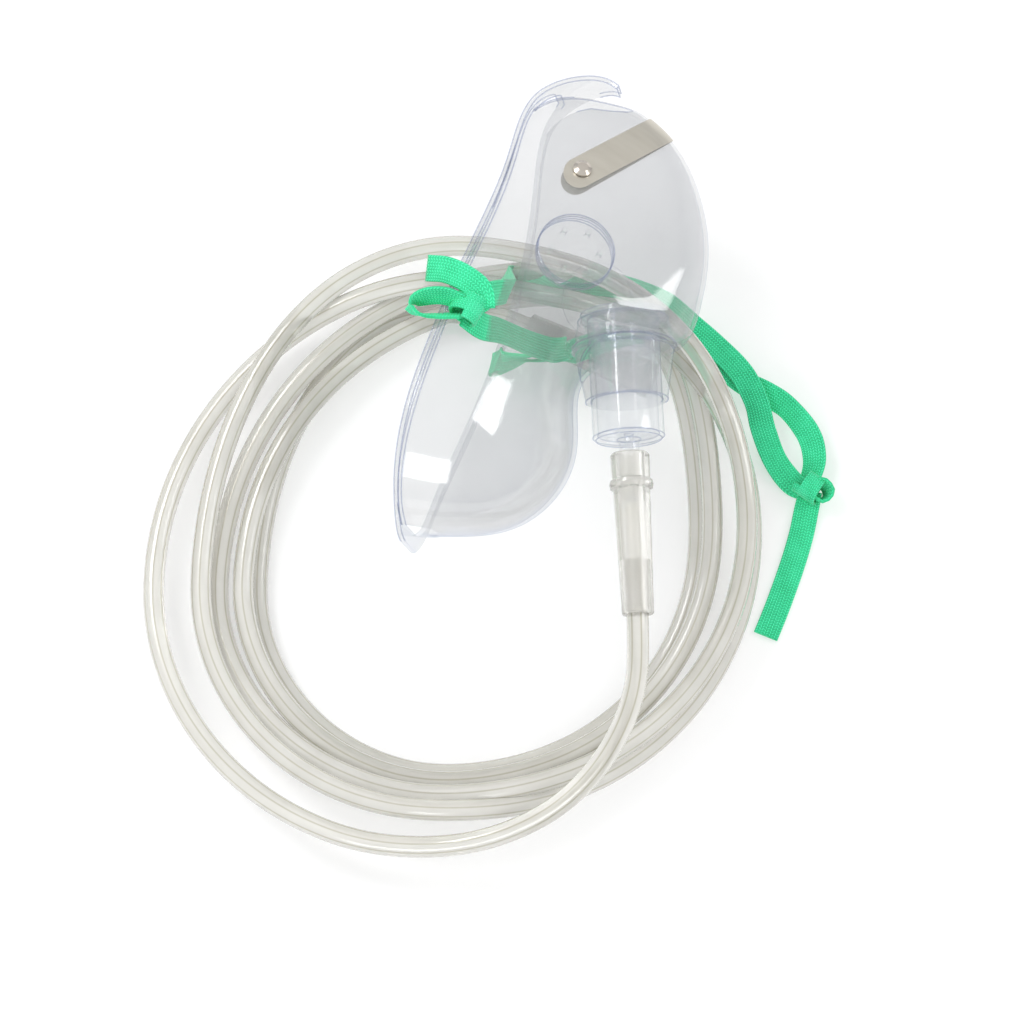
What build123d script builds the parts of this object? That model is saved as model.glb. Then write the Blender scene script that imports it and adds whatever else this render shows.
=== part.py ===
from build123d import *
import math
import os

# Oxygen face mask with nose clip, head strap, swivel inlet and coiled supply tubing, lying on its cheek.
#
# The frame is +Z up, with the table top at Z 0 and the origin in the middle of the mask and strap's footprint.
# Inside the mask's own frame x runs across the face, y from chin to nose and z forwards, out of the open back.
# All sizes are in millimetres.

# ---- driving dimensions -------------------------------------------------------------------------
WALL = 1.3                      # moulded shell
FLANGE_THICK = 1.2              # soft edge that seals on the face
TUBE_RADIUS = 3.0               # supply tubing, outside
ORIGIN_X, ORIGIN_Y = 2.52, -0.03   # middle of the footprint, in the layout's own table coordinates

CHIN_X, CHIN_Y, CHIN_Z = -56.2, -57.6, 37.8     # the mask frame's origin: rim of the chin
MASK_HEADING, MASK_PITCH, MASK_ROLL = -21.9, 6.0, -7.0

PORT_Y, PORT_Z = 74.5, 34.5     # centre of the port's mouth in the mask frame
PORT_LEAN = 65.5                # from straight forwards towards the chin, degrees
PORT_RADIUS, PORT_END_RADIUS, PORT_LENGTH = 13.8, 11.4, 16.0
PORT_SLEEVE = 7.0               # how far the port's sleeve reaches into the mask
BORE_RADIUS = 9.95
ADAPTER_RADIUS = 9.9
ADAPTER_END = 27.0              # end cap's outer face, along the port's axis
NIPPLE_RADIUS, NIPPLE_BORE = 2.7, 1.3
SOCKET_START, SOCKET_LENGTH = 31.0, 45.0
TUBE_FIT = 0.05                 # radial gap of the tubing in the swivelling socket
TUBE_DEPTH = 15.0               # tubing inside a socket

CLIP_WIDTH, CLIP_THICK, CLIP_GAP = 8.6, 0.5, 0.35
CLIP_RIDGE = (0.0, 136.2, 21.6)
CLIP_REACH = 31.4               # from the ridge to the ends of the legs
RIVET_RADIUS = 2.6
NEAR_RIVET, NEAR_RIVET_FACING = (17.3, 112.9, 8.9), (0.90, 0.41, 0.13)
FAR_RIVET, FAR_RIVET_FACING = (15.3, 119.2, 0.8), (0.90, 0.43, 0.07)

VENT_X, VENT_Y, VENT_Z, VENT_RADIUS = 24.6, 89.5, 17.5, 10.6
VENT_FACING = (0.92, 0.30, 0.25)
VENT_HOLES, VENT_HOLE_RADIUS, VENT_HOLE_CIRCLE = 6, 0.8, 6.6

SLOT_Y, SLOT_LENGTH, SLOT_WIDTH = 65.0, 10.5, 2.4
STRAP_WIDTH, STRAP_THICK = 7.2, 0.9

COIL_HEIGHT, COIL_LOW = 18.0, 6.2               # the coil, and the coil where the mask lies over it
SOCKET_ENTRY = 36.0                             # the way kept clear in front of the far socket's mouth

# Profile of the shell, chin to nose: back y, back z, front y, front z, half width, sharpness of the ridge
SHELL = [
    (5.0, -2.4, 7.4, 7.0, 9.0, 0.0),
    (8.0, -3.0, 13.2, 20.0, 16.5, 0.0),
    (13.5, -4.2, 22.0, 29.5, 23.0, 0.0),
    (25.0, -5.8, 35.0, 33.6, 29.5, 0.05),
    (43.0, -6.3, 49.0, 30.5, 34.4, 0.1),
    (61.0, -6.3, 63.5, 27.5, 35.2, 0.2),
    (76.0, -6.7, 78.4, 48.4, 32.6, 0.3),
    (89.0, -7.2, 93.0, 50.4, 28.4, 0.4),
    (103.0, -8.8, 109.5, 46.0, 23.0, 0.5),
    (115.0, -11.0, 122.0, 38.4, 17.8, 0.6),
    (125.0, -11.6, 131.0, 29.6, 13.0, 0.7),
    (132.0, -8.0, 136.4, 20.6, 9.0, 0.7),
    (136.6, 0.0, 138.8, 13.0, 5.0, 0.7),
]
# Rim of the flange, chin to nose: y, z, half width
RIM = [
    (0.4, -0.4, 6.5), (3.5, -1.8, 15.5), (8.5, -3.0, 22.5), (15.5, -4.5, 29.0), (25.5, -5.8, 35.2),
    (38.0, -6.3, 39.6), (52.0, -6.3, 41.2), (66.0, -6.5, 40.4), (80.0, -6.8, 37.0), (95.0, -7.6, 31.4),
    (109.0, -9.6, 25.0), (121.0, -12.0, 19.2), (130.5, -11.6, 14.4), (137.5, -7.0, 10.6),
    (142.2, 0.0, 7.0), (142.8, 6.0, 3.4),
]
# Outline fractions of a section, from its base over to the ridge: half round, and roof shaped
ROUND = [(math.cos(math.radians(a)), math.sin(math.radians(a))) for a in (0, 18, 36, 54, 72, 90)]
ROOF = [(1.0, 0.0), (0.9, 0.22), (0.75, 0.46), (0.53, 0.7), (0.26, 0.91), (0.0, 1.0)]

# Supply tubing, from the socket down on to the coil, and the ring that the coil fills: x, y, z on the table
LEAD_ROUTE = [
    (5.8, -99.0, 42.5), (-1.5, -114.5, 35.0), (-14.0, -127.0, 27.0), (-31.0, -134.5, 20.0),
    (-49.0, -137.0, 15.0),
]
COIL_CENTRE_X, COIL_CENTRE_Y = -44.7, -48.8
COIL_OUTER_X, COIL_OUTER_Y = 88.0, 91.6
COIL_CORE_X, COIL_CORE_Y, COIL_CORE_RX, COIL_CORE_RY = -38.5, -49.2, 62.0, 66.8
FAR_SOCKET_X, FAR_SOCKET_Y, FAR_SOCKET_Z = 13.0, 1.0, 6.5
FAR_SOCKET_TURN, FAR_SOCKET_DIP, FAR_SOCKET_LENGTH = 155.0, 2.2, 40.0


def table(x, y, z=0.0):
    """A point given in the layout's table coordinates, in the part's frame."""
    return Vector(x - ORIGIN_X, y - ORIGIN_Y, z)


# ---- the mask's own frame, lying on its right cheek -----------------------------------------------
LYING = Plane(origin=(0, 0, 0), x_dir=(0, 0, -1), z_dir=(1, 0, 0)).location
MASK = (
    Pos(*table(CHIN_X, CHIN_Y, CHIN_Z)) * Rot(0, 0, MASK_HEADING) * Rot(MASK_PITCH, 0, 0)
    * Rot(0, MASK_ROLL, 0) * LYING
)
PORT_DIRECTION = Vector(0, -math.sin(math.radians(PORT_LEAN)), math.cos(math.radians(PORT_LEAN)))
PORT = Plane(origin=(0, PORT_Y, PORT_Z), x_dir=(1, 0, 0), z_dir=PORT_DIRECTION).location


def on_mask(x, y, z):
    """A point given in the mask's frame, in the part's frame."""
    return (MASK * Pos(x, y, z)).position


def turned(outline):
    """A solid of revolution about its own Z axis, from (radius, height) corners."""
    return revolve(make_face(Plane.XZ * Polyline(*outline, close=True)), Axis.Z)


def section(back_y, back_z, front_y, front_z, half, sharp, grow, tail):
    """A closed shell section: its base points, its arch, and a straight run of length tail behind the rim."""
    depth = math.hypot(front_y - back_y, front_z - back_z)
    dir_y, dir_z = (front_y - back_y) / depth, (front_z - back_z) / depth
    side = []
    for (round_x, round_h), (roof_x, roof_h) in zip(ROUND, ROOF):
        across = (1 - sharp) * round_x + sharp * roof_x
        height = (1 - sharp) * round_h + sharp * roof_h
        side.append((across * (half + grow), height * (depth + grow)))
    points = side + [(-across, height) for across, height in side[-2::-1]]
    plane = Plane(origin=(0, back_y, back_z), x_dir=(1, 0, 0), z_dir=(0, -dir_z, dir_y))
    arch = [plane.from_local_coords((across, height)) for across, height in points]
    left, right = (plane.from_local_coords((s * (half + grow), -tail)) for s in (-1, 1))
    edges = [Spline(*arch)]
    edges += [Line(arch[-1], left), Line(left, right), Line(right, arch[0])]
    return Wire(edges)


def dome(grow, tail):
    """The closed form of the shell, its wall moved outwards by grow and its base carried back by tail."""
    return Solid.make_loft([section(*row, grow, tail) for row in SHELL])


def rim_slab():
    """The sheet that the flange is cut from: it follows the rim, and curls up over the bridge of the nose."""
    sections = []
    for i, (y, z, half) in enumerate(RIM):
        before, after = RIM[max(i - 1, 0)], RIM[min(i + 1, len(RIM) - 1)]
        along = Vector(0, after[0] - before[0], after[1] - before[1])
        plane = Plane(origin=(0, y, z), x_dir=(1, 0, 0), z_dir=along)
        sections.append((plane * Rectangle(2 * half, FLANGE_THICK)).wire())
    return Solid.make_loft(sections)


def side_place(side, x, y, z, facing):
    """A place on one side of the shell, with Z along facing, its outward direction on the +x side."""
    outward = (side * facing[0], facing[1], facing[2])
    return Plane(origin=(side * x, y, z), x_dir=(0, facing[2], -facing[1]), z_dir=outward).location


def make_mask_shell():
    shell = Part() + (dome(0, 0.5) + rim_slab()) - dome(-WALL, 12)
    sleeve = turned([
        (0, -PORT_SLEEVE), (PORT_RADIUS - 1.2, -PORT_SLEEVE), (PORT_RADIUS, 0), (PORT_RADIUS + 0.7, 0.4),
        (PORT_RADIUS + 0.7, 1.6), (PORT_RADIUS, 2.0), (PORT_END_RADIUS, PORT_LENGTH), (0, PORT_LENGTH),
    ])
    shell += PORT * sleeve
    shell -= PORT * Pos(0, 0, -30) * Cylinder(BORE_RADIUS, 30 + PORT_LENGTH + 1, align=FOOT)
    for side in (-1, 1):
        place = side_place(side, VENT_X, VENT_Y, VENT_Z, VENT_FACING)
        shell += place * Pos(0, 0, -2.6) * Cylinder(VENT_RADIUS, 3.6, align=FOOT)
        for i in range(VENT_HOLES):
            turn = 360 * i / VENT_HOLES
            hole = Rot(0, 0, turn) * Pos(VENT_HOLE_CIRCLE, 0, 0) * Cylinder(VENT_HOLE_RADIUS, 16)
            shell -= place * hole
        shell -= Pos(side * slot_x(), SLOT_Y, -6.4) * Box(SLOT_WIDTH, SLOT_LENGTH, 8)
    return shell


def slot_x():
    """Middle of the strap's slot, across the flange."""
    return 38.1


def clip_plane():
    """The plane of the bent clip, through the ridge of the nose and both of its rivets."""
    near = Vector(-NEAR_RIVET[0], *NEAR_RIVET[1:])
    far = Vector(*FAR_RIVET)
    ridge = Vector(*CLIP_RIDGE)
    across = far - near
    return Plane(origin=ridge, x_dir=across, z_dir=across.cross(ridge - (near + far) / 2))


def make_nose_clip():
    """A soft metal strip with round ends, bent over the bridge of the nose and lying on both sides of the shell."""
    skin = dome(CLIP_GAP + CLIP_THICK, 1) - dome(CLIP_GAP, 2)
    leg = CLIP_REACH - CLIP_WIDTH / 2
    band = Pos(0, 5 - leg / 2, 0) * Box(80, leg + 10, CLIP_WIDTH)
    band += Pos(0, -leg, 0) * Rot(0, 90, 0) * Cylinder(CLIP_WIDTH / 2, 80)
    return skin & (clip_plane().location * band)


def make_rivet(side):
    """A tubular rivet that holds one end of the clip; its shank spreads on the inside of the shell."""
    where, facing = (NEAR_RIVET, NEAR_RIVET_FACING) if side < 0 else (FAR_RIVET, FAR_RIVET_FACING)
    place = side_place(side, *where, facing)
    return place * turned([
        (0, -2.2), (1.9, -2.2), (1.9, -1.7), (1.3, -1.7), (1.3, 1.0), (RIVET_RADIUS, 1.0),
        (RIVET_RADIUS, 1.5), (1.5, 2.1), (0, 2.1),
    ])


def make_inlet_adapter():
    """A clear cup that turns in the port's bore, held by a collar inside the mask, with a nipple on its cap."""
    return PORT * turned([
        (ADAPTER_RADIUS, -PORT_SLEEVE - 0.3), (ADAPTER_RADIUS, ADAPTER_END - 0.8),
        (ADAPTER_RADIUS - 0.8, ADAPTER_END), (NIPPLE_RADIUS + 0.6, ADAPTER_END), (NIPPLE_RADIUS, ADAPTER_END + 1),
        (NIPPLE_RADIUS, SOCKET_START + 11), (NIPPLE_RADIUS - 0.6, SOCKET_START + 13),
        (NIPPLE_BORE, SOCKET_START + 13), (NIPPLE_BORE, ADAPTER_END - 1.4), (ADAPTER_RADIUS - 1.4, ADAPTER_END - 1.4),
        (ADAPTER_RADIUS - 1.4, -PORT_SLEEVE - 1.9), (ADAPTER_RADIUS + 1.8, -PORT_SLEEVE - 1.9),
        (ADAPTER_RADIUS + 1.8, -PORT_SLEEVE - 0.3),
    ])


def socket(length, mouth_bore, mouth_depth, tube_bore):
    """The moulded end of the tubing, mouth at the origin and tubing leaving along +Z."""
    neck = length - TUBE_DEPTH
    return turned([
        (mouth_bore, 0), (5.0, 0), (5.4, 0.5), (5.3, 7.2), (5.9, 7.8), (6.1, 8.8), (5.9, 9.9), (5.1, 10.4),
        (4.4, length - 0.4), (4.1, length), (tube_bore, length), (tube_bore, neck),
        (1.9, neck), (1.9, mouth_depth), (mouth_bore, mouth_depth),
    ])


def make_lead():
    """The tubing from inside the socket to the coil, as straight runs and the largest tangent arcs they allow."""
    start = (MASK * PORT * Pos(0, 0, SOCKET_START + SOCKET_LENGTH - TUBE_DEPTH)).position
    exit_point = (MASK * PORT * Pos(0, 0, SOCKET_START + SOCKET_LENGTH + 5)).position
    points = [start, exit_point] + [table(*p) for p in LEAD_ROUTE]
    radii = []
    for before, here, after in zip(points, points[1:], points[2:]):
        half_turn = math.radians((here - before).get_angle(after - here)) / 2
        shorter = min((here - before).length, (after - here).length)
        radii.append(0.45 * shorter / math.tan(half_turn))
    print("tubing bend radii", [round(r, 1) for r in radii])
    path = FilletPolyline(*points, radius=radii)
    tube = sweep((path ^ 0) * Circle(TUBE_RADIUS), path=path)
    print("tubing volume / section x length", tube.volume / (math.pi * TUBE_RADIUS ** 2 * path.length))
    return tube


def make_coil():
    """The space that the coil's turns fill: a flat ring, low where the mask lies over it."""
    outer = Pos(COIL_CENTRE_X, COIL_CENTRE_Y) * Ellipse(COIL_OUTER_X, COIL_OUTER_Y)
    core = Pos(COIL_CORE_X, COIL_CORE_Y) * Ellipse(COIL_CORE_RX, COIL_CORE_RY)
    ring = extrude(outer - core, COIL_HEIGHT)
    ring -= Pos(-68, -12, COIL_LOW) * Box(130, 70, 30, align=CORNER)
    place = far_socket_place()
    ring -= place * Pos(0, 0, -SOCKET_ENTRY) * Box(13.2, 30, SOCKET_ENTRY + FAR_SOCKET_LENGTH + 0.5, align=FOOT)
    tail = Cylinder(TUBE_RADIUS, TUBE_DEPTH + 9, align=FOOT)
    ring += place * Pos(0, 0, FAR_SOCKET_LENGTH - TUBE_DEPTH) * tail
    return Pos(-ORIGIN_X, -ORIGIN_Y, 0) * ring


def far_socket_place():
    """Where the far end's socket lies, in table coordinates: its mouth, with Z towards the coil."""
    mouth = Pos(FAR_SOCKET_X, FAR_SOCKET_Y, FAR_SOCKET_Z)
    return mouth * Rot(0, 0, FAR_SOCKET_TURN + 90) * Rot(90 + FAR_SOCKET_DIP, 0, 0)


def ribbon(flat, *points):
    """A flat band through the points; flat is the direction of its width."""
    made = Part()
    for a, b in zip(points, points[1:]):
        along = (b - a).normalized()
        width = flat - along * flat.dot(along)
        face = Plane(origin=a - along * STRAP_THICK / 2, x_dir=width, z_dir=along) * Rectangle(STRAP_WIDTH, STRAP_THICK)
        made += extrude(face, (b - a).length + STRAP_THICK)
    return made


def make_strap():
    """The elastic strap: knotted through the near slot, out of the far one, and on under the mask to a knot and tail."""
    across = on_mask(0, 1, 0) - on_mask(0, 0, 0)
    near = [on_mask(-slot_x(), SLOT_Y, z) for z in (4, -12)]
    far = [on_mask(slot_x(), SLOT_Y, -9), on_mask(slot_x() + 0.4, SLOT_Y, 2)]
    knot = table(-36.5, -3, 86.5)
    strap = ribbon(across, knot, near[0], near[1])
    strap += ribbon(across, near[1], on_mask(-28, 63, -9), on_mask(-22, 61, 8), table(-23, 0.5, 48), table(-14, 5.5, 26))
    strap += ribbon(Vector(0, 0.5, 1), near[1], table(-27.5, 31.0, 8.4))
    side = Vector(0.25, 1, 0)
    strap += ribbon(side, table(-29.0, 31.5, 7.2), table(-15, 27, 7.2), table(9, 22.5, 7.2), table(24, 14, 7.2))
    strap += ribbon(across, far[0], far[1], table(-15, 9, 12.2))
    strap += ribbon(side, table(-16, 9, 12.2), table(-4, 12, 13.4), table(8, 13.5, 13.4), table(24, 14, 7.9))
    side = Vector(0.7, 0.7, 0)
    strap += ribbon(side, table(23, 15, 7.2), table(39, 3, 2.6), table(50, -14, 0.8), table(58.7, -30.2, 0.8))
    strap += ribbon(Vector(0.8, 0.6, 0), table(36, 5, 3.3), table(56, -12, 3.9), table(59.2, -30.2, 3.9))
    strap += ribbon(Vector(1, -0.3, 0), table(59, -27, 0.8), table(55, -46, 0.46), table(45.3, -73.0, 0.46))
    strap += Pos(*table(59.2, -30.2, 3.6)) * Rot(0, 0, 30) * Box(9, 7, 7)
    strap += Pos(*knot) * Rot(0, 0, -20) * Box(9, 8, 6)
    strap += ribbon(Vector(1, 0, 0), knot, table(-42, 6, 88), table(-50.4, 9.2, 86))
    strap += ribbon(Vector(0, 1, 0), knot, table(-55.2, -2.3, 84.5))
    return strap


FOOT = (Align.CENTER, Align.CENTER, Align.MIN)
CORNER = (Align.MIN, Align.MIN, Align.MIN)


def export(name, shape):
    export_step(shape, f"parts/{name}.step")
    box = shape.bounding_box()
    print(f"{name:18s} low {tuple(round(v, 2) for v in box.min)} high {tuple(round(v, 2) for v in box.max)}")


def main():
    os.makedirs("parts", exist_ok=True)
    export("mask_shell", MASK * make_mask_shell())
    export("nose_clip", MASK * make_nose_clip())
    export("nose_clip_rivet_near", MASK * make_rivet(-1))
    export("nose_clip_rivet_far", MASK * make_rivet(1))
    export("inlet_adapter", MASK * make_inlet_adapter())
    near_socket = socket(SOCKET_LENGTH, NIPPLE_RADIUS, 14, TUBE_RADIUS + TUBE_FIT)
    export("inlet_socket", MASK * PORT * Pos(0, 0, SOCKET_START) * near_socket)
    export("tubing_lead", make_lead())
    export("tubing_coil", make_coil())
    far_socket = far_socket_place() * socket(FAR_SOCKET_LENGTH, TUBE_RADIUS, 18, TUBE_RADIUS)
    export("supply_socket", Pos(-ORIGIN_X, -ORIGIN_Y, 0) * far_socket)
    export("head_strap", make_strap())
    print("port mouth", on_mask(0, PORT_Y, PORT_Z))


main()
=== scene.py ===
import math

import bmesh
import bpy
import numpy as np
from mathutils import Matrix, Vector


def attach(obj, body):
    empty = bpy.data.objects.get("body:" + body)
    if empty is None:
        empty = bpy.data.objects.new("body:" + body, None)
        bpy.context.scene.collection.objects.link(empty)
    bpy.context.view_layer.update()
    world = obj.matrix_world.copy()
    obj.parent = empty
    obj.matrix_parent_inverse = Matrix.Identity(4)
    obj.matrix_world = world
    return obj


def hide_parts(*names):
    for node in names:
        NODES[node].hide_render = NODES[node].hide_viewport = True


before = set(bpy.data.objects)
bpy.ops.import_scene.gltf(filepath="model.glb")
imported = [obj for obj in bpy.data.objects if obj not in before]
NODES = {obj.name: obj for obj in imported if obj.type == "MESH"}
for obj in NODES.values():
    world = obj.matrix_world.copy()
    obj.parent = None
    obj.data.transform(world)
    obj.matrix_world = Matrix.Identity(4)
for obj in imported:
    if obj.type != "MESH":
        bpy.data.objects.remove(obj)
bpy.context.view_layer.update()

MM = 0.001

# The layout on the table is measured from an origin of its own. This is where the part's origin lies in it,
# in mm.
ORIGIN = Vector((2.52, -0.03, 0.0))

TUBE_D = 6.0
TUBE_R = TUBE_D / 2

STRAP_WIDTH = 7.2
STRAP_THICK = 0.9
STRAP_RIBS = 9
KNOT_WIDTH = 5.5
KNOT_THICK = 1.0

CAMERA_PLACE = (-0.03052, -0.27105, 0.87508)
CAMERA_TILT = 15  # degrees off the vertical
LENS, SENSOR = 110, 36

SKY_HORIZON = (0.42, 0.44, 0.47)
SKY_ABOVE = (0.80, 0.80, 0.80)
FLOOR_HALF = 3.0
FLOOR_DROP = 0.0003  # keeps the floor's face off the pieces that lie on it
FLOOR_GREY = 0.55
FLOOR_GLOW = 0.46  # keeps the shadows faint


def table(x, y, z):
    """A point of the table's layout, moved into the part's frame, in mm."""
    return Vector((x, y, z)) - ORIGIN


# ---------------------------------------------------------------- camera, floor and light

def add_camera():
    """The photograph's view, looking steeply down."""
    data = bpy.data.cameras.new("camera")
    data.lens = LENS
    data.sensor_width = SENSOR
    data.clip_start = 0.01
    camera = bpy.data.objects.new("camera", data)
    camera.location = CAMERA_PLACE
    camera.rotation_euler = (math.radians(CAMERA_TILT), 0, 0)
    bpy.context.scene.collection.objects.link(camera)
    bpy.context.scene.camera = camera


def add_area(name, location, target, size, size_y, power):
    """A soft box lamp that faces a point."""
    data = bpy.data.lights.new(name, "AREA")
    data.shape = "RECTANGLE"
    data.size = size
    data.size_y = size_y
    data.energy = power
    lamp = bpy.data.objects.new(name, data)
    lamp.location = location
    lamp.rotation_euler = (Vector(target) - Vector(location)).to_track_quat("-Z", "Y").to_euler()
    bpy.context.scene.collection.objects.link(lamp)


def add_world():
    """A white sky that turns to a soft grey near the horizon, so that clear edges show a darker line."""
    world = bpy.data.worlds.new("studio")
    world.use_nodes = True
    bpy.context.scene.world = world
    tree = world.node_tree
    tree.nodes.clear()
    coord = tree.nodes.new("ShaderNodeTexCoord")
    split = tree.nodes.new("ShaderNodeSeparateXYZ")
    tree.links.new(coord.outputs["Generated"], split.inputs[0])
    sky = ramp(tree, split.outputs["Z"], [(0.0, SKY_HORIZON), (0.5, SKY_ABOVE)])
    back = tree.nodes.new("ShaderNodeBackground")
    tree.links.new(sky.outputs["Color"], back.inputs["Color"])
    out = tree.nodes.new("ShaderNodeOutputWorld")
    tree.links.new(back.outputs[0], out.inputs["Surface"])


def add_floor():
    """The plain white table top."""
    mesh = bpy.data.meshes.new("floor")
    half = FLOOR_HALF
    corners = [(-half, -half, 0), (half, -half, 0), (half, half, 0), (-half, half, 0)]
    mesh.from_pydata(corners, [], [(0, 1, 2, 3)])
    floor = bpy.data.objects.new("floor", mesh)
    bpy.context.scene.collection.objects.link(floor)
    floor.location.z = -FLOOR_DROP
    material, shader = new_material("floor_white")
    shader.inputs["Base Color"].default_value = (FLOOR_GREY, FLOOR_GREY, FLOOR_GREY, 1)
    shader.inputs["Roughness"].default_value = 0.75
    shader.inputs["Specular IOR Level"].default_value = 0.1
    shader.inputs["Emission Color"].default_value = (1, 1, 1, 1)
    shader.inputs["Emission Strength"].default_value = FLOOR_GLOW
    mesh.materials.append(material)


# ---------------------------------------------------------------- materials

def new_material(name):
    """A node material with a Principled shader; returns both."""
    material = bpy.data.materials.new(name)
    material.use_nodes = True
    shader = material.node_tree.nodes["Principled BSDF"]
    return material, shader


def node(tree, kind, **sockets):
    """A node with some of its input sockets set."""
    made = tree.nodes.new(kind)
    for key, value in sockets.items():
        made.inputs[key].default_value = value
    return made


def noise(tree, scale, detail=3.0):
    """Noise in the piece's own metres."""
    coord = tree.nodes.new("ShaderNodeTexCoord")
    made = node(tree, "ShaderNodeTexNoise", Scale=scale, Detail=detail)
    tree.links.new(coord.outputs["Object"], made.inputs["Vector"])
    return made


def ramp(tree, source, stops):
    """A colour ramp over a source, with (place, colour) stops."""
    made = tree.nodes.new("ShaderNodeValToRGB")
    elements = made.color_ramp.elements
    while len(elements) < len(stops):
        elements.new(1.0)
    for element, (place, colour) in zip(elements, stops):
        element.position = place
        element.color = (*colour, 1)
    tree.links.new(source, made.inputs["Fac"])
    return made


def calc(tree, operation, *values):
    """A Math node over numbers and sources; returns its output."""
    made = tree.nodes.new("ShaderNodeMath")
    made.operation = operation
    for socket, value in zip(made.inputs, values):
        if isinstance(value, (int, float)):
            socket.default_value = value
        else:
            tree.links.new(value, socket)
    return made.outputs[0]


def spread(tree, source, low, high, source_low=0.0, source_high=1.0):
    """A source mapped on to a range; returns the output."""
    made = node(tree, "ShaderNodeMapRange")
    made.inputs["From Min"].default_value = source_low
    made.inputs["From Max"].default_value = source_high
    made.inputs["To Min"].default_value = low
    made.inputs["To Max"].default_value = high
    tree.links.new(source, made.inputs["Value"])
    return made.outputs["Result"]


def bump(tree, source, strength, distance, shader):
    """Bump from a height source into a shader's normal."""
    made = node(tree, "ShaderNodeBump", Strength=strength, Distance=distance)
    tree.links.new(source, made.inputs["Height"])
    tree.links.new(made.outputs["Normal"], shader.inputs["Normal"])


def mix_shaders(tree, share, first, second):
    """Two shaders mixed by a source."""
    made = tree.nodes.new("ShaderNodeMixShader")
    tree.links.new(share, made.inputs["Fac"])
    tree.links.new(first.outputs[0], made.inputs[1])
    tree.links.new(second.outputs[0], made.inputs[2])
    return made


def clear_skin(name, face_on, edge_on, haze, gloss_roughness, waviness):
    """Thin clear plastic: tinted see-through, darker and bluer where it turns edge-on, with a cloudy haze and
    a gloss that grows towards the edges. It takes the colour face on and two steps of it edge-on."""
    material = bpy.data.materials.new(name)
    material.use_nodes = True
    tree = material.node_tree
    tree.nodes.clear()
    facing = node(tree, "ShaderNodeLayerWeight", Blend=0.5).outputs["Facing"]

    see = tree.nodes.new("ShaderNodeBsdfTransparent")
    stops = [(0.0, face_on), (0.66, face_on), (0.88, edge_on[0]), (0.97, edge_on[1])]
    tree.links.new(ramp(tree, facing, stops).outputs["Color"], see.inputs["Color"])
    milk = tree.nodes.new("ShaderNodeBsdfDiffuse")
    milk.inputs["Color"].default_value = (0.86, 0.88, 0.90, 1)
    cloud = noise(tree, 55.0, 2.0)
    amount = spread(tree, cloud.outputs["Fac"], haze * 0.7, haze * 1.35, 0.3, 0.7)
    body = mix_shaders(tree, amount, see, milk)

    gloss = node(tree, "ShaderNodeBsdfAnisotropic", Roughness=gloss_roughness)
    gloss.inputs["Color"].default_value = (1, 1, 1, 1)
    wave = noise(tree, 26.0, 1.5)
    bump(tree, wave.outputs["Fac"], waviness, 0.004, gloss)
    mirror = spread(tree, calc(tree, "POWER", facing, 4.0), 0.045, 0.42)
    skin = mix_shaders(tree, mirror, body, gloss)
    out = tree.nodes.new("ShaderNodeOutputMaterial")
    tree.links.new(skin.outputs[0], out.inputs["Surface"])
    return material


def painted_bore_shade(tree, colour, count):
    """A colour with darker lines along a tube, as many as the ribs of its bore: painted shade of the ribbed
    bore seen through the wall.
    """
    coord = tree.nodes.new("ShaderNodeTexCoord")
    split = tree.nodes.new("ShaderNodeSeparateXYZ")
    tree.links.new(coord.outputs["UV"], split.inputs[0])
    crest = calc(tree, "COSINE", calc(tree, "MULTIPLY", split.outputs["Y"], 2 * math.pi * count))
    rib_shade_ramp = ramp(tree, crest, [(0.0, (1, 1, 1)), (0.80, (0.97, 0.97, 0.96)), (0.97, (0.72, 0.70, 0.62))])
    both = tree.nodes.new("ShaderNodeMix")
    both.data_type = "RGBA"
    both.blend_type = "MULTIPLY"
    both.inputs["Factor"].default_value = 1.0
    tree.links.new(colour, both.inputs["A"])
    tree.links.new(rib_shade_ramp.outputs["Color"], both.inputs["B"])
    return both.outputs["Result"]


def soft_vinyl(name, colour, tint, transmission, roughness, lines=0):
    """Translucent soft vinyl: part glass, part warm white body, with faint colour clouds, and on the tubing
    painted shade lines along it, where its ribbed bore shows through the wall."""
    material, shader = new_material(name)
    tree = material.node_tree
    cloud = noise(tree, 90.0)
    shade = ramp(tree, cloud.outputs["Fac"], [(0.25, colour), (0.75, tint)]).outputs["Color"]
    if lines:
        shade = painted_bore_shade(tree, shade, lines)
    tree.links.new(shade, shader.inputs["Base Color"])
    shader.inputs["Transmission Weight"].default_value = transmission
    shader.inputs["Roughness"].default_value = roughness
    shader.inputs["IOR"].default_value = 1.42
    shader.inputs["Coat Weight"].default_value = 0.5
    shader.inputs["Coat Roughness"].default_value = 0.08
    fine = noise(tree, 700.0)
    bump(tree, fine.outputs["Fac"], 0.08, 0.0006, shader)
    return material


def brushed(name, colour, dark, roughness, stretch):
    """Satin metal with fine brush lines across a direction that is stretched, and small stains."""
    material, shader = new_material(name)
    tree = material.node_tree
    coord = tree.nodes.new("ShaderNodeTexCoord")
    mapping = tree.nodes.new("ShaderNodeMapping")
    mapping.inputs["Scale"].default_value = stretch
    lines = node(tree, "ShaderNodeTexNoise", Scale=60.0, Detail=6.0)
    tree.links.new(coord.outputs["Object"], mapping.inputs["Vector"])
    tree.links.new(mapping.outputs[0], lines.inputs["Vector"])
    shade = ramp(tree, lines.outputs["Fac"], [(0.3, dark), (0.7, colour)])
    tree.links.new(shade.outputs["Color"], shader.inputs["Base Color"])
    shader.inputs["Metallic"].default_value = 0.85
    variation = spread(tree, lines.outputs["Fac"], roughness * 0.8, roughness * 1.25)
    tree.links.new(variation, shader.inputs["Roughness"])
    bump(tree, lines.outputs["Fac"], 0.12, 0.0004, shader)
    return material


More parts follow.
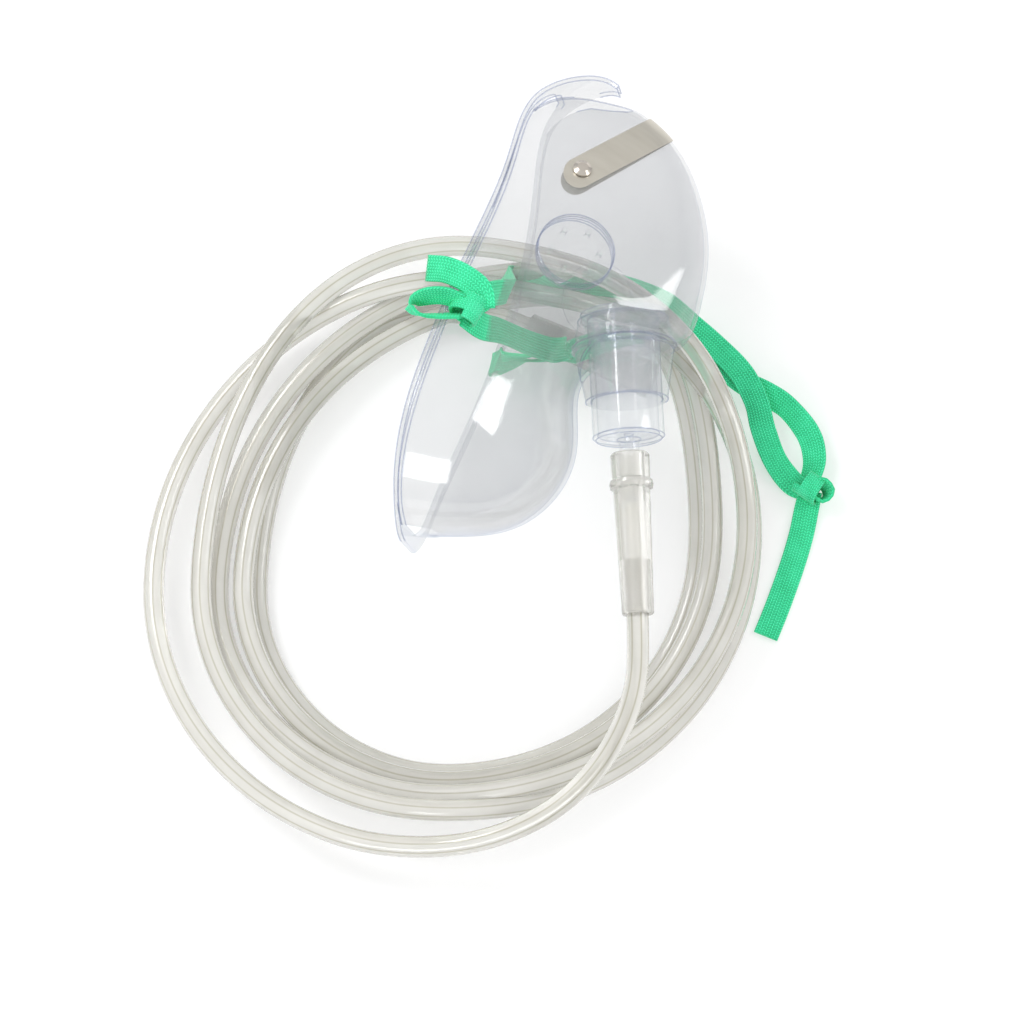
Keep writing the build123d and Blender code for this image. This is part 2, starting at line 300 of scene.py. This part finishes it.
def elastic():
    """Green braided elastic. Its ribs are in the mesh, and its cross stitches come from the ribbon's UVs. Its
    colour is painted shade in the hollows between ribs and stitches and painted highlight on their crests,
    over faint random clouds of its own tone.
    """
    material, shader = new_material("strap_green")
    tree = material.node_tree
    uv = tree.nodes.new("ShaderNodeUVMap")
    uv.uv_map = "ribbon"
    split = tree.nodes.new("ShaderNodeSeparateXYZ")
    tree.links.new(uv.outputs[0], split.inputs[0])
    along_mm, across_ribs = split.outputs["X"], split.outputs["Y"]

    # Stitches lean one way on each rib and the other way on the next.
    lean = calc(tree, "MULTIPLY", calc(tree, "PINGPONG", across_ribs, 1.0), 5.0)
    wave = calc(tree, "SINE", calc(tree, "ADD", calc(tree, "MULTIPLY", along_mm, 7.6), lean))
    stitch = calc(tree, "MULTIPLY_ADD", wave, 0.5, 0.5)
    rib = calc(tree, "SINE", calc(tree, "MULTIPLY", calc(tree, "FRACT", across_ribs), math.pi))
    height = calc(tree, "MULTIPLY", stitch, rib)
    cloud = calc(tree, "MULTIPLY", noise(tree, 240.0).outputs["Fac"], 0.4)
    # the colour follows the stitch height: painted shade in the hollows and painted highlight on the crests,
    # over the elastic's own uneven tone from the noise clouds
    variation = calc(tree, "ADD", calc(tree, "MULTIPLY", height, 0.7), cloud)
    greens = [(0.1, (0.014, 0.47, 0.19)), (0.5, (0.030, 0.84, 0.385)), (0.95, (0.12, 0.93, 0.55))]
    tree.links.new(ramp(tree, variation, greens).outputs["Color"], shader.inputs["Base Color"])
    shader.inputs["Roughness"].default_value = 0.62
    shader.inputs["Sheen Weight"].default_value = 0.25
    shader.inputs["Sheen Roughness"].default_value = 0.4
    bump(tree, height, 0.55, 0.0003, shader)
    return material


# ---------------------------------------------------------------- the tubing

# Control points of the lead, from inside the inlet socket down to the coil's outer turn, in mm in the part's
# frame.
LEAD = [
    (3.109, -62.889, 47.033),
    (3.956, -82.85, 46.136),
    (3.28, -98.97, 42.5),
    (-4.02, -114.47, 35.0),
    (-16.52, -126.97, 27.0),
    (-33.52, -134.47, 20.0),
    (-51.52, -136.97, 15.0),
]

# One row per turn, from the lead inwards: the turn's lowest y, leftmost x, highest y and rightmost x, the x
# of its bottom and of its top, and the squareness of its run from top to right. In mm, in the table's layout.
TURNS = [
    (-137.5, -130.0, 29.5, 40.5, -49.0, -45.0, 1.0),
    (-127.0, -116.5, 40.5, 38.5, -46.0, -44.0, 1.0),
    (-122.0, -112.0, 34.0, 29.0, -44.0, -20.0, 0.82),
    (-117.5, -104.5, 27.5, 25.5, -44.0, -16.0, 0.82),
    (-114.5, -101.0, 25.0, None, -44.0, -44.0, 1.0),
]
LEFT_Y = -60.0  # of every turn's leftmost point
RIGHT_Y = -45.0  # of every turn's rightmost point
STEPS = 6  # control points per quarter turn

# The last run, into the rear of the supply socket that lies under the mask, and that socket, in mm in the
# table's layout.
SOCKET_RUN = [(-34.1, 22.6, 4.6), (-23.2, 17.9, 5.0), (-9.6, 11.6, 5.5)]
SOCKET_MOUTH = (13.0, 1.0, 6.5)
SOCKET_REAR = (-23.2, 17.9, 5.0)
SOCKET_R = 6.1

# The order in which the turns lie on each other, from the lowest.
PILE = [4, 3, 2, 0, 1]

# Where the far side of the mask's flange hangs low: the stretch in x, and the flange's height along y.
FLANGE_X = (-38.0, -21.0)
FLANGE_Y = [10, 16, 20, 24, 28, 36, 45]
FLANGE_Z = [6.3, 7.0, 8.0, 9.0, 12.0, 15.0, 18.0]
FLANGE_GAP = 0.2
CLEAR_SKY = 100.0  # a height limit where nothing hangs over the tubing

SMOOTHING_ROUNDS = 260  # of each turn, as it bridges over the ones below
JOINING_ROUNDS = 30  # of the whole coil, where one turn leads into the next
JOINING_SLACK = 0.02


def quarter(centre, x_reach, y_reach, from_y, power=1.0):
    """Control points of a quarter ellipse, starting on its y reach (from_y) or its x reach, pushed out by
    the little that a quadratic spline cuts inside its points."""
    out = []
    swell = 8 / (6 + 2 * math.cos(math.pi / 2 / STEPS))
    for k in range(STEPS):
        a = math.pi / 2 * k / STEPS
        s = math.sin(a) ** power
        c = math.cos(a) ** power
        px, py = (s, c) if from_y else (c, s)
        out.append((centre[0] + x_reach * px * swell, centre[1] + y_reach * py * swell))
    return out


def coil_plan():
    """The coil's control points seen from above, as (x, y, turn) in mm in the part's frame."""
    plan = []
    for i, (bottom, left, top, right, bottom_x, top_x, power) in enumerate(TURNS):
        run = quarter((bottom_x, LEFT_Y), left - bottom_x, bottom - LEFT_Y, True)
        run += quarter((top_x, LEFT_Y), left - top_x, top - LEFT_Y, False)
        if right is not None:
            following = TURNS[i + 1]
            run += quarter((top_x, RIGHT_Y), right - top_x, top - RIGHT_Y, True, power)
            run += quarter((following[4], RIGHT_Y), right - following[4], following[0] - RIGHT_Y, False)
        if i == 0:
            run = run[1:]
        plan += [(x - ORIGIN.x, y - ORIGIN.y, i) for x, y in run]
    return plan


def spline_points(control, per_span=8):
    """Points along the clamped quadratic spline of these control points, each with its place along it."""
    control = [Vector(c) for c in control]
    n = len(control)
    out = []
    for i in range(n - 2):
        a, b, c = control[i], control[i + 1], control[i + 2]
        p0 = a if i == 0 else (a + b) / 2
        p2 = c if i == n - 3 else (b + c) / 2
        for k in range(per_span):
            t = k / per_span
            out.append((i + t, (1 - t) ** 2 * p0 + 2 * t * (1 - t) * b + t * t * p2))
    out.append((float(n - 2), control[-1]))
    return out


def rim_clearance(x, y):
    """How high a tube's centre may be under the far side of the mask's flange, at a point of the layout."""
    if not FLANGE_X[0] < x < FLANGE_X[1] or not FLANGE_Y[0] < y < FLANGE_Y[-1]:
        return CLEAR_SKY
    under = np.interp(y, FLANGE_Y, FLANGE_Z)
    return max(TUBE_R, under - TUBE_R - FLANGE_GAP)


def lay_coil(plan):
    """Gives each control point of the coil its height: the turns are laid on each other in order, each
    resting on the ones below and bridging over them in long low humps."""
    dense = spline_points([(x, y, 0.0) for x, y, _ in plan])
    where = np.array([[p.x, p.y] for _, p in dense])
    turn = np.array([plan[min(len(plan) - 1, int(round(u + 0.5)))][2] for u, _ in dense])
    height = np.full(len(dense), TUBE_R)
    socket_line = [table(*SOCKET_REAR).lerp(table(*SOCKET_MOUTH), k / 20) for k in range(21)]
    cap = np.array([rim_clearance(x + ORIGIN.x, y + ORIGIN.y) for x, y in where])
    laid_xy = np.empty((0, 2))
    laid_z = np.empty(0)
    for layer in PILE:
        mine = np.where(turn == layer)[0]
        need = np.full(len(mine), TUBE_R)
        for row, i in enumerate(mine):
            if len(laid_xy):
                gap = np.hypot(*(laid_xy - where[i]).T)
                close = gap < TUBE_D
                if close.any():
                    need[row] = max(need[row], (laid_z[close] + np.sqrt(TUBE_D**2 - gap[close] ** 2)).max())
            if layer != PILE[0]:
                for p in socket_line:
                    reach = SOCKET_R + TUBE_R
                    gap = math.hypot(p.x - where[i][0], p.y - where[i][1])
                    if gap < reach:
                        need[row] = max(need[row], p.z + math.sqrt(reach**2 - gap**2))
        need = np.minimum(need, cap[mine])
        z = need.copy()
        for _ in range(SMOOTHING_ROUNDS):
            z[1:-1] = np.maximum(need[1:-1], (z[:-2] + z[2:]) / 2)
        z = np.minimum(z, cap[mine])
        height[mine] = z
        laid_xy = np.vstack([laid_xy, where[mine]])
        laid_z = np.concatenate([laid_z, z])
    # the turns join end to end without a step
    for _ in range(JOINING_ROUNDS):
        height[1:-1] = np.maximum(height[1:-1], (height[:-2] + height[2:]) / 2 - JOINING_SLACK)
    height = np.minimum(height, cap)
    params = np.array([u for u, _ in dense])
    return [(x, y, float(np.interp(k - 0.5, params, height))) for k, (x, y, _) in enumerate(plan)]


def cord_points():
    """Every control point of the tubing, in mm in the part's frame."""
    coil = lay_coil(coil_plan())
    # the outer turn comes down from the lead's height in its first half
    start = LEAD[-1][2]
    fall = STEPS * 2
    for k in range(fall):
        share = 0.5 + 0.5 * math.cos(math.pi * (k + 1) / fall)
        x, y, z = coil[k]
        coil[k] = (x, y, max(z, TUBE_R + (start - TUBE_R) * share))
    return [*LEAD, *coil, *[tuple(table(*p)) for p in SOCKET_RUN]]


def make_tubing(material):
    """The tubing as one NURBS curve, with its real diameter."""
    points = cord_points()
    curve = bpy.data.curves.new("supply_tubing", "CURVE")
    curve.dimensions = "3D"
    spline = curve.splines.new("NURBS")
    spline.points.add(len(points) - 1)
    for place, p in zip(spline.points, points):
        place.co = (p[0] * MM, p[1] * MM, p[2] * MM, 1.0)
    spline.order_u = 3
    spline.use_endpoint_u = True
    spline.resolution_u = 8
    spline.use_smooth = True
    curve.bevel_depth = TUBE_R * MM
    curve.bevel_resolution = 6
    curve.use_fill_caps = True
    curve.materials.append(material)
    tube = bpy.data.objects.new("supply_tubing", curve)
    bpy.context.scene.collection.objects.link(tube)
    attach(tube, "mask")
    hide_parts("tubing_lead", "tubing_coil")


# ---------------------------------------------------------------- the strap

# The strap's runs, in mm in the table's layout. Each row is the ribbon's middle and the direction across it.
# The upper band goes from the near knot down behind the rim, under the mask and out to the far knot.
UPPER_BAND = [
    (-37.5, -1.5, 85.5, 0.35, 0.9, -0.2),
    (-33.5, 1.8, 82.0, 0.25, 0.95, 0.1),
    (-29.0, 8.0, 66.0, 0.35, 0.92, 0.15),
    (-29.0, 16.5, 44.0, 0.5, 0.8, 0.3),
    (-30.5, 26.0, 24.0, 0.7, 0.5, 0.5),
    (-29.5, 30.8, 12.5, 0.3, 0.9, 0.3),
    (-25.5, 31.4, 9.0, 0.1, 1.0, 0.1),
    (-19.5, 29.0, 9.2, 0.2, 0.9, 0.4),
    (-14.2, 26.4, 11.0, 0.2, 0.45, 0.85),
    (-6.0, 28.6, 13.0, 0.1, 0.8, 0.6),
    (2.0, 27.8, 13.5, 0.1, 1.0, 0.15),
    (9.4, 25.5, 14.0, 0.3, 0.95, 0),
    (17.0, 22.0, 13.6, 0.4, 0.9, 0),
    (24.5, 15.8, 12.0, 0.6, 0.8, 0),
    (31.2, 10.6, 9.5, 0.6, 0.8, 0),
    (38.6, 3.2, 7.5, 0.8, 0.6, 0.1),
    (42.8, -5.5, 7.5, 0.9, 0.2, 0.35),
    (44.6, -13.5, 7.0, 0.95, 0.2, 0.1),
    (48.2, -21.8, 3.0, 0.9, 0.4, -0.1),
    (53.0, -28.4, 2.2, 0.7, 0.6, 0.4),
    (56.8, -30.6, 3.0, 0.3, 0.6, 0.8),
]

# The lower band goes from the near knot across the inside of the cup, through the far slot and back under.
LOWER_BAND = [
    (-40.5, -5.0, 85.5, 0.3, 0.9, 0.1),
    (-36.0, -6.3, 79.0, 0.2, 0.95, 0.2),
    (-31.0, -4.0, 68.0, -0.1, 1, 0.2),
    (-24.0, -0.9, 49.0, -0.1, 1, 0.3),
    (-16.8, 2.6, 31.0, -0.1, 0.9, 0.5),
    (-13.0, 5.0, 24.5, -0.1, 0.5, 0.9),
    (-14.5, 5.8, 21.0, 0, -0.3, 0.95),
    (-22.0, 6.4, 15.0, 0, -0.3, 0.95),
    (-28.5, 6.6, 11.5, 0.1, 0.1, 0.9),
    (-31.9, 6.8, 8.2, 0.37, 0.92, 0.1),
    (-34.0, 6.7, 4.4, 0.2, 0.95, 0.1),
    (-30.5, 7.2, 3.9, 0, 0.5, 0.8),
    (-24.0, 8.0, 4.4, 0, -0.3, 0.95),
]

# From there it runs on under the mask to the far knot.
HIDDEN_BAND = [
    (-25.0, 8.0, 4.2, 0, -0.3, 0.95),
    (-17.0, 7.0, 8.6, 0, -0.2, 0.95),
    (-7.0, 9.0, 13.6, 0.3, 0.95, 0.2),
    (4.0, 12.5, 14.6, 0.3, 0.95, 0),
    (14.0, 14.5, 13.0, 0.4, 0.9, 0),
    (22.5, 13.6, 10.5, 0.6, 0.8, 0),
    (30.0, 8.6, 8.0, 0.65, 0.75, 0),
    (38.5, 1.5, 5.6, 0.8, 0.6, 0),
    (46.0, -2.4, 5.0, 0.6, 0.8, 0.3),
    (52.2, -6.6, 4.6, 0.5, 0.6, 0.6),
    (58.0, -14.5, 4.4, 0.85, 0.4, 0.4),
    (59.6, -22.0, 3.8, 0.9, 0.1, 0.5),
    (58.0, -28.6, 3.6, 0.8, -0.2, 0.7),
]

# The free end of the near knot curls back over the rim.
NEAR_END = [
    (-36.0, -3.6, 86.0, 1, 0.1, 0.1),
    (-36.4, 0.6, 87.6, 0.9, 0.5, -0.1),
    (-40.2, 3.8, 88.6, 0.75, 0.65, 0.05),
    (-45.4, 6.6, 87.6, 0.5, 0.8, 0.3),
    (-50.6, 8.2, 84.6, 0.35, 0.85, 0.4),
]

# A small eye of ribbon stands out beyond the near knot.
NEAR_EYE = [
    (-41.0, -2.4, 86.8, 0.0, 0.55, 0.85),
    (-46.0, -0.4, 87.0, -0.1, 0.5, 0.85),
    (-51.5, -0.6, 86.4, -0.2, 0.4, 0.9),
    (-55.4, -2.6, 85.4, 0.3, 0.0, 0.95),
    (-52.5, -4.9, 84.9, 0.2, -0.35, 0.93),
    (-47.0, -5.4, 85.0, 0.1, -0.45, 0.9),
    (-41.0, -5.2, 85.4, 0.0, -0.5, 0.85),
]

# The small loop of the far knot, and its long tail.
FAR_LOOP = [
    (58.5, -29.6, 4.6, 0.1, 0.4, 0.9),
    (61.8, -29.4, 4.8, 0.2, 0.3, 0.9),
    (63.4, -31.9, 4.5, 0.5, 0.0, 0.85),
    (61.6, -34.2, 4.0, 0.2, -0.4, 0.9),
    (58.4, -32.4, 3.8, 0.2, -0.4, 0.9),
]
TAIL = [
    (58.4, -31.0, 3.0, 0.9, -0.1, 0.5),
    (57.2, -36.0, 1.6, 0.95, -0.25, 0.2),
    (55.4, -44.0, 0.9, 0.95, -0.25, 0.05),
    (52.6, -53.0, 0.6, 0.94, -0.33, 0),
    (48.4, -64.4, 0.5, 0.93, -0.36, 0),
    (44.6, -73.6, 0.5, 0.92, -0.38, 0),
]

NEAR_KNOT = (-40.0, -3.4, 85.6)
FAR_KNOT = (58.2, -30.2, 4.4)


def smooth_path(points, spacing=1.1):
    """Evenly spaced points on a Catmull-Rom curve through rows of numbers."""
    rows = [np.array(p, float) for p in points]
    rows = [2 * rows[0] - rows[1], *rows, 2 * rows[-1] - rows[-2]]
    dense = []
    for i in range(1, len(rows) - 2):
        a, b, c, d = rows[i - 1 : i + 3]
        steps = max(4, int(np.linalg.norm(c[:3] - b[:3]) / 0.5))
        for k in range(steps):
            t = k / steps
            bend = (2 * a - 5 * b + 4 * c - d) * t**2
            twist = (3 * b - a - 3 * c + d) * t**3
            dense.append(0.5 * (2 * b + (c - a) * t + bend + twist))
    dense.append(rows[-2])
    dense = np.array(dense)
    gaps = np.linalg.norm(np.diff(dense[:, :3], axis=0), axis=1)
    run = np.concatenate([[0], np.cumsum(gaps)])
    count = max(6, int(run[-1] / spacing))
    wanted = np.linspace(0, run[-1], count)
    even = np.array([[np.interp(w, run, dense[:, k]) for k in range(dense.shape[1])] for w in wanted])
    return even, wanted


def add_ribbon(bm, layer, route, width=STRAP_WIDTH, thick=STRAP_THICK, phase=0.0):
    """Adds a ribbed elastic ribbon to bm, along rows such as the strap's runs above. The phase shifts its
    stitches, in mm."""
    rows = []
    for x, y, z, ax, ay, az in route:
        p = table(x, y, z)
        across = Vector((ax, ay, az)).normalized()
        rows.append((*p, *across))
    path, run = smooth_path(rows)
    cells = STRAP_RIBS * 4
    rings = []
    for i, row in enumerate(path):
        p = Vector(row[:3])
        ahead = Vector(path[min(i + 1, len(path) - 1)][:3]) - Vector(path[max(i - 1, 0)][:3])
        ahead.normalize()
        across = Vector(row[3:6])
        across = (across - ahead * across.dot(ahead)).normalized()
        face = ahead.cross(across)
        ring = []
        for side in (1, -1):
            for k in range(cells + 1):
                share = k / cells if side == 1 else 1 - k / cells
                rib = abs(math.sin(math.pi * STRAP_RIBS * share))
                edge = min(share, 1 - share) * 2
                bulge = thick / 2 * (0.72 + 0.28 * rib) * (1 if edge > 0.02 else 0.45)
                point = p + across * ((share - 0.5) * width) + face * (side * bulge)
                ring.append((bm.verts.new(point * MM), share))
        rings.append(ring)
    count = len(rings[0])
    for i in range(len(rings) - 1):
        for k in range(count):
            j = (k + 1) % count
            corners = [rings[i][k], rings[i][j], rings[i + 1][j], rings[i + 1][k]]
            face = bm.faces.new([v for v, _ in corners])
            face.smooth = True
            for loop, (_, share), u in zip(face.loops, corners, (run[i], run[i], run[i + 1], run[i + 1])):
                loop[layer].uv = (u + phase, share * STRAP_RIBS)
    for ring, turn in ((rings[0], 1), (rings[-1], -1)):
        bm.faces.new([v for v, _ in ring][::turn])


def add_wrap(bm, layer, centre, axis, radii, start=0.0):
    """Adds a ribbon wound a little more than once round an oval, as the outside of a knot."""
    axis = Vector(axis).normalized()
    up = Vector((0, 0, 1))
    side = (up - axis * up.dot(axis)).normalized()
    other = axis.cross(side)
    route = []
    steps = 14
    turns = 1.3
    lean = 2.1  # along the axis, for each turn
    for k in range(int(steps * turns) + 1):
        a = 2 * math.pi * k / steps + start
        p = Vector(centre) + side * (radii[0] * math.cos(a)) + other * (radii[1] * math.sin(a))
        p += axis * (lean * (k / steps - turns / 2))
        route.append((*p, *axis))
    add_ribbon(bm, layer, route, width=KNOT_WIDTH, thick=KNOT_THICK)


def make_strap(material):
    """The knotted green elastic, as ribbons and knots in one piece."""
    bm = bmesh.new()
    layer = bm.loops.layers.uv.new("ribbon")
    add_ribbon(bm, layer, UPPER_BAND)
    add_ribbon(bm, layer, LOWER_BAND)
    add_ribbon(bm, layer, HIDDEN_BAND, phase=90)
    add_ribbon(bm, layer, NEAR_END, phase=210)
    add_ribbon(bm, layer, NEAR_EYE, width=6.2, phase=250)
    add_wrap(bm, layer, NEAR_KNOT, axis=(0.45, 0.85, -0.1), radii=(3.4, 3.9))
    add_wrap(bm, layer, FAR_KNOT, axis=(0.75, -0.6, 0.1), radii=(3.1, 3.6), start=0.6)
    add_ribbon(bm, layer, FAR_LOOP, width=5.6, phase=300)
    add_ribbon(bm, layer, TAIL, phase=330)
    bmesh.ops.recalc_face_normals(bm, faces=bm.faces[:])
    mesh = bpy.data.meshes.new("strap")
    bm.to_mesh(mesh)
    bm.free()
    mesh.materials.append(material)
    strap = bpy.data.objects.new("strap", mesh)
    bpy.context.scene.collection.objects.link(strap)
    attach(strap, "mask")
    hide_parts("head_strap")


# ---------------------------------------------------------------- painted crease shade and finishes

CREASE_ANGLE = 35.0
SHORTEST_CREASE = 0.0062  # metres: longer than the rim of a vent hole


def crease_lines(bm, limit):
    """The sharp creases of a mesh as chains of points, always in the same order."""
    bmesh.ops.remove_doubles(bm, verts=bm.verts[:], dist=2e-6)
    bm.edges.index_update()
    sharp = {e.index: e for e in bm.edges if len(e.link_faces) == 2 and e.calc_face_angle(0) > limit}
    chains = []
    while sharp:
        edge = sharp.pop(next(iter(sharp)))
        chain = [edge.verts[0], edge.verts[1]]
        for end in (1, 0):
            while True:
                tip = chain[-1] if end else chain[0]
                onward = [e for e in tip.link_edges if e.index in sharp]
                if not onward:
                    break
                edge = sharp.pop(onward[0].index)
                beyond = edge.other_vert(tip)
                chain = [*chain, beyond] if end else [beyond, *chain]
        chains.append([v.co.copy() for v in chain])
    return chains


def upper_runs(chain, lowest):
    """The stretches of a chain of points that lie no lower than a height."""
    runs = [[]]
    for point in chain:
        if point.z >= lowest:
            runs[-1].append(point)
        elif runs[-1]:
            runs.append([])
    return runs


def add_crease_shade_beads(name, source, body, material, radius, lowest):
    """Thin rounded dark beads along the creases of a CAD node: painted shade, standing in for the dark of the
    room that a moulded edge reflects. They stay off the creases below a height, and off the small holes."""
    bm = bmesh.new()
    bm.from_mesh(NODES[source].data)
    creases = crease_lines(bm, math.radians(CREASE_ANGLE))
    chains = [run for chain in creases for run in upper_runs(chain, lowest)]
    bm.free()
    curve = bpy.data.curves.new(name, "CURVE")
    curve.dimensions = "3D"
    curve.bevel_depth = radius
    curve.bevel_resolution = 1
    for chain in chains:
        if sum((b - a).length for a, b in zip(chain, chain[1:])) < SHORTEST_CREASE:
            continue
        spline = curve.splines.new("POLY")
        spline.points.add(len(chain) - 1)
        for place, p in zip(spline.points, chain):
            place.co = (*p, 1.0)
    curve.materials.append(material)
    beads = bpy.data.objects.new(name, curve)
    bpy.context.scene.collection.objects.link(beads)
    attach(beads, body)


def dress(name, material, angle):
    """Gives a CAD node its finish, with smooth shading up to an angle between faces."""
    obj = NODES[name]
    obj.data.materials.clear()
    obj.data.materials.append(material)
    obj.data.polygons.foreach_set("use_smooth", [True] * len(obj.data.polygons))
    obj.data.set_sharp_from_angle(angle=math.radians(angle))


# ---------------------------------------------------------------- build

add_camera()
add_world()
add_floor()
add_area("key", (-0.55, 0.35, 0.75), (0.0, 0.0, 0.04), 0.30, 0.40, 3.6)
add_area("fill", (0.75, 0.10, 0.55), (0.0, 0.0, 0.04), 0.22, 0.5, 1.8)
add_area("chin", (-0.20, -0.75, 0.55), (-0.02, -0.02, 0.04), 0.35, 0.25, 1.6)

shell_skin = clear_skin(
    "clear_vinyl_shell",
    face_on=(0.906, 0.907, 0.912),
    edge_on=((0.87, 0.885, 0.92), (0.46, 0.51, 0.66)),
    haze=0.05,
    gloss_roughness=0.07,
    waviness=0.25,
)
adapter_skin = clear_skin(
    "clear_hard_adapter",
    face_on=(0.985, 0.987, 0.990),
    edge_on=((0.90, 0.92, 0.94), (0.58, 0.63, 0.72)),
    haze=0.13,
    gloss_roughness=0.05,
    waviness=0.05,
)
# a darker, bluer clear skin for the crease beads: painted shade
crease_shade_skin = clear_skin(
    "painted_crease_shade_vinyl",
    face_on=(0.80, 0.82, 0.885),
    edge_on=((0.72, 0.75, 0.84), (0.58, 0.62, 0.76)),
    haze=0.04,
    gloss_roughness=0.08,
    waviness=0.0,
)
socket_vinyl = soft_vinyl("ivory_socket_vinyl", (0.90, 0.89, 0.84), (0.95, 0.94, 0.91), 0.72, 0.16)
# the tubing's lengthwise lines are painted shade of its ribbed bore seen through the wall
tube_vinyl = soft_vinyl("warm_tubing_vinyl", (0.84, 0.83, 0.78), (0.92, 0.91, 0.87), 0.62, 0.13, lines=7)
clip_metal = brushed("satin_clip_metal", (0.66, 0.625, 0.55), (0.60, 0.565, 0.49), 0.34, (1.0, 1.0, 14.0))
rivet_metal = brushed("rivet_metal", (0.72, 0.68, 0.62), (0.55, 0.50, 0.44), 0.22, (1.0, 1.0, 1.0))

for name, material, angle in (
    ("mask_shell", shell_skin, 40),
    ("inlet_adapter", adapter_skin, 30),
    ("inlet_socket", socket_vinyl, 30),
    ("supply_socket", socket_vinyl, 30),
    ("nose_clip", clip_metal, 30),
    ("nose_clip_rivet_near", rivet_metal, 30),
    ("nose_clip_rivet_far", rivet_metal, 30),
):
    dress(name, material, angle)

# dark beads along the creases of the shell and the adapter: painted shade, for the dark of the room that
# their edges reflect
add_crease_shade_beads("shell_painted_crease_shade", "mask_shell", "mask", crease_shade_skin, 0.00020, 0.045)
add_crease_shade_beads("adapter_painted_crease_shade", "inlet_adapter", "adapter", crease_shade_skin, 0.00016, 0.0)
make_tubing(tube_vinyl)
make_strap(elastic())

bpy.context.scene.view_settings.view_transform = "Standard"
# The cup, its port and the shell lie over each other, so light crosses up to 20 clear faces.
bpy.context.scene.cycles.transparent_max_bounces = 32
